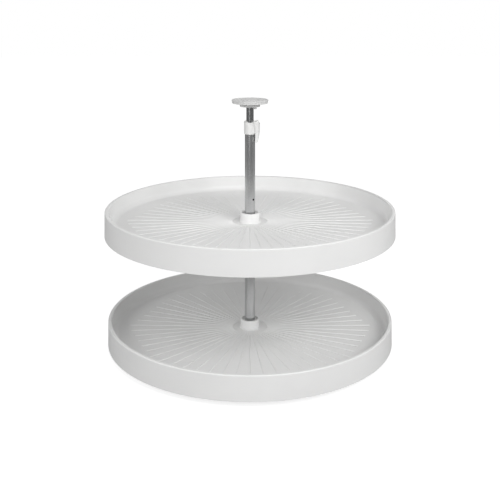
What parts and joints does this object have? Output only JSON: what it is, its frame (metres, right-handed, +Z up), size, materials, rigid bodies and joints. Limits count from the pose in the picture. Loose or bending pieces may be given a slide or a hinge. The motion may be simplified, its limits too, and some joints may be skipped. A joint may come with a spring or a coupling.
{
  "type": "two-shelf rotating pantry carousel",
  "caption": "Full-round pantry carousel: rimmed shelves turn on ball bearings round a telescoping post with a cam lock lever and screw-down flanges.",
  "frame": {"origin": "middle of the base flange's underside, on the cabinet floor", "axes": "+Z up along the post, +X towards the lock lever, -Y towards the front"},
  "size_m": [0.8136, 0.8136, 0.7023],
  "materials": {
    "shelf_plastic": "satin moulded",
    "hub_plastic": "satin moulded",
    "flange_plastic": "satin moulded",
    "lock_plastic": "satin moulded",
    "outer_tube_steel": "satin",
    "inner_tube_steel": "satin",
    "bearing_steel": "turned",
    "ball_steel": "polished",
    "cage_plastic": "moulded",
    "guide_plastic": "moulded",
    "screw_steel": "black oxide"
  },
  "bodies": {
    "post": {"base_flange": "flange_plastic", "base_set_screw": "screw_steel", "outer_tube": "outer_tube_steel", "lower_support_collar": "bearing_steel", "lower_support_pin": "bearing_steel", "lower_bottom_race": "bearing_steel", "upper_support_collar": "bearing_steel", "upper_support_pin": "bearing_steel", "upper_bottom_race": "bearing_steel", "lock_collar": "lock_plastic", "guide_bush": "guide_plastic", "lever_pin": "lock_plastic"},
    "mast": {"inner_tube": "inner_tube_steel", "guide_plug": "guide_plastic", "top_flange": "flange_plastic", "top_set_screw": "screw_steel"},
    "lock_lever": {"cam_lever": "lock_plastic"},
    "lower_shelf": {"lower_tray": "shelf_plastic", "lower_hub": "hub_plastic", "lower_hub_nut": "hub_plastic", "lower_top_race": "bearing_steel"},
    "lower_cage": {"lower_ball_cage": "cage_plastic", "lower_bearing_balls": "ball_steel"},
    "upper_shelf": {"upper_tray": "shelf_plastic", "upper_hub": "hub_plastic", "upper_hub_nut": "hub_plastic", "upper_top_race": "bearing_steel"},
    "upper_cage": {"upper_ball_cage": "cage_plastic", "upper_bearing_balls": "ball_steel"}
  },
  "joints": [
    {"name": "mast_slide", "type": "slide", "parent": "post", "child": "mast", "axis": [0, 0, 1], "range_m": [-0.028, 0.082]},
    {"name": "lock_lever_swing", "type": "hinge", "parent": "post", "child": "lock_lever", "pos_m": [0.018, 0, 0.637], "axis": [0, -1, 0], "range_deg": [0, 90]},
    {"name": "lower_shelf_spin", "type": "hinge", "parent": "post", "child": "lower_shelf", "pos_m": [0, 0, 0.0542], "axis": [0, 0, 1], "continuous": true},
    {"name": "upper_shelf_spin", "type": "hinge", "parent": "post", "child": "upper_shelf", "pos_m": [0, 0, 0.3707], "axis": [0, 0, 1], "continuous": true},
    {"name": "lower_cage_spin", "type": "hinge", "parent": "post", "child": "lower_cage", "pos_m": [0, 0, 0.0526], "axis": [0, 0, 1], "continuous": true},
    {"name": "upper_cage_spin", "type": "hinge", "parent": "post", "child": "upper_cage", "pos_m": [0, 0, 0.3691], "axis": [0, 0, 1], "continuous": true}
  ],
  "couplings": [
    {"joint": "lower_cage_spin", "follows": "lower_shelf_spin", "ratio": 0.5},
    {"joint": "upper_cage_spin", "follows": "upper_shelf_spin", "ratio": 0.5}
  ]
}
